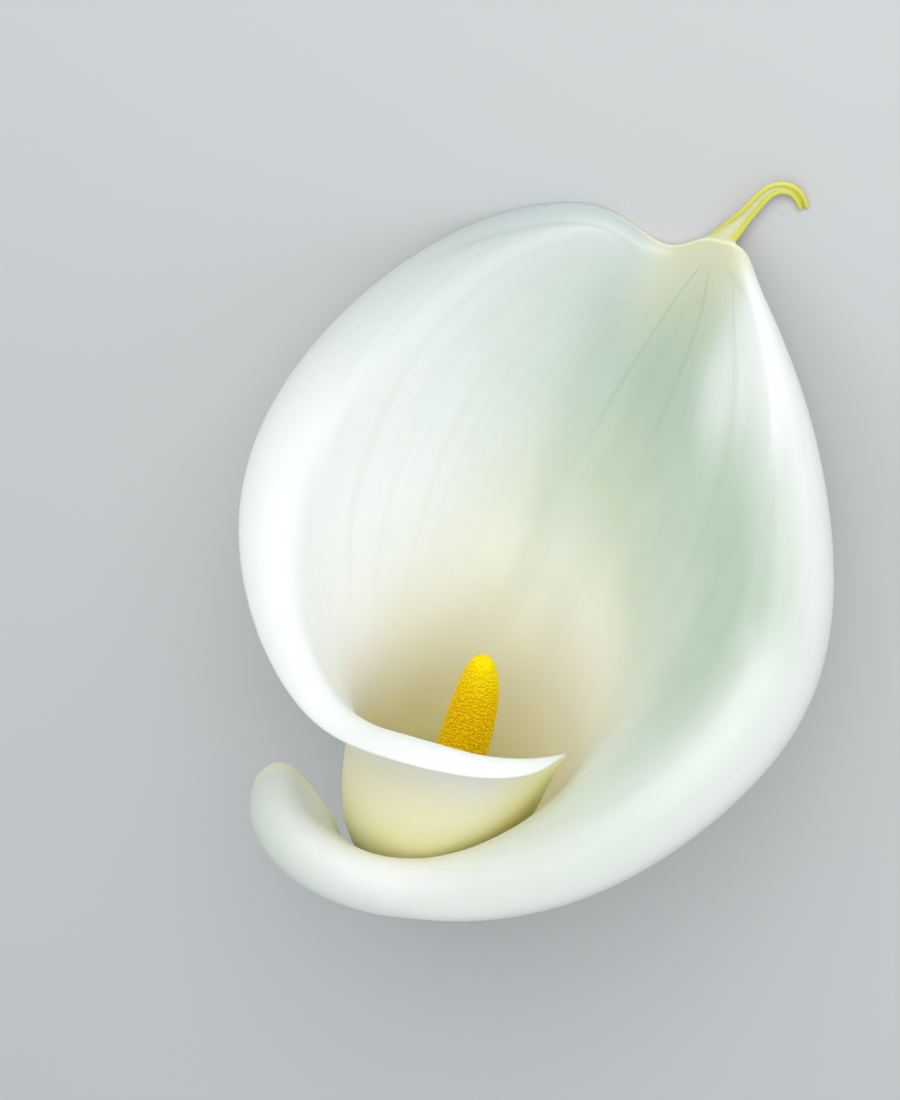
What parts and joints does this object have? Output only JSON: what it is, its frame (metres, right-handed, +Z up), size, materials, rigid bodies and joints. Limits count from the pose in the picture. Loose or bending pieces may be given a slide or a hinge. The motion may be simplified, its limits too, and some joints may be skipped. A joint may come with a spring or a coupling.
{
  "type": "arum lily flower",
  "caption": "White arum lily flower on a short cut stalk, lying on its back: a rolled spathe that flares to a curled tail, round a golden spadix.",
  "frame": {"origin": "on the surface that the flower lies on, under the centre of its box", "axes": "+Z up from that surface, +Y along the lying flower from its mouth and curled tail to the cut end of its stalk, +X to the side that the picture shows on the left"},
  "size_m": [0.1242, 0.2158, 0.0896],
  "materials": {
    "stem_green": "satin, living plant skin",
    "petal_white": "soft satin, translucent petal",
    "ovary_green": "satin, beaded",
    "anther_gold": "matt, granular with pollen"
  },
  "bodies": {
    "root": {"stem": "stem_green", "spathe": "petal_white", "spadix_female_zone": "ovary_green", "spadix_male_zone": "anther_gold"}
  },
  "joints": []
}
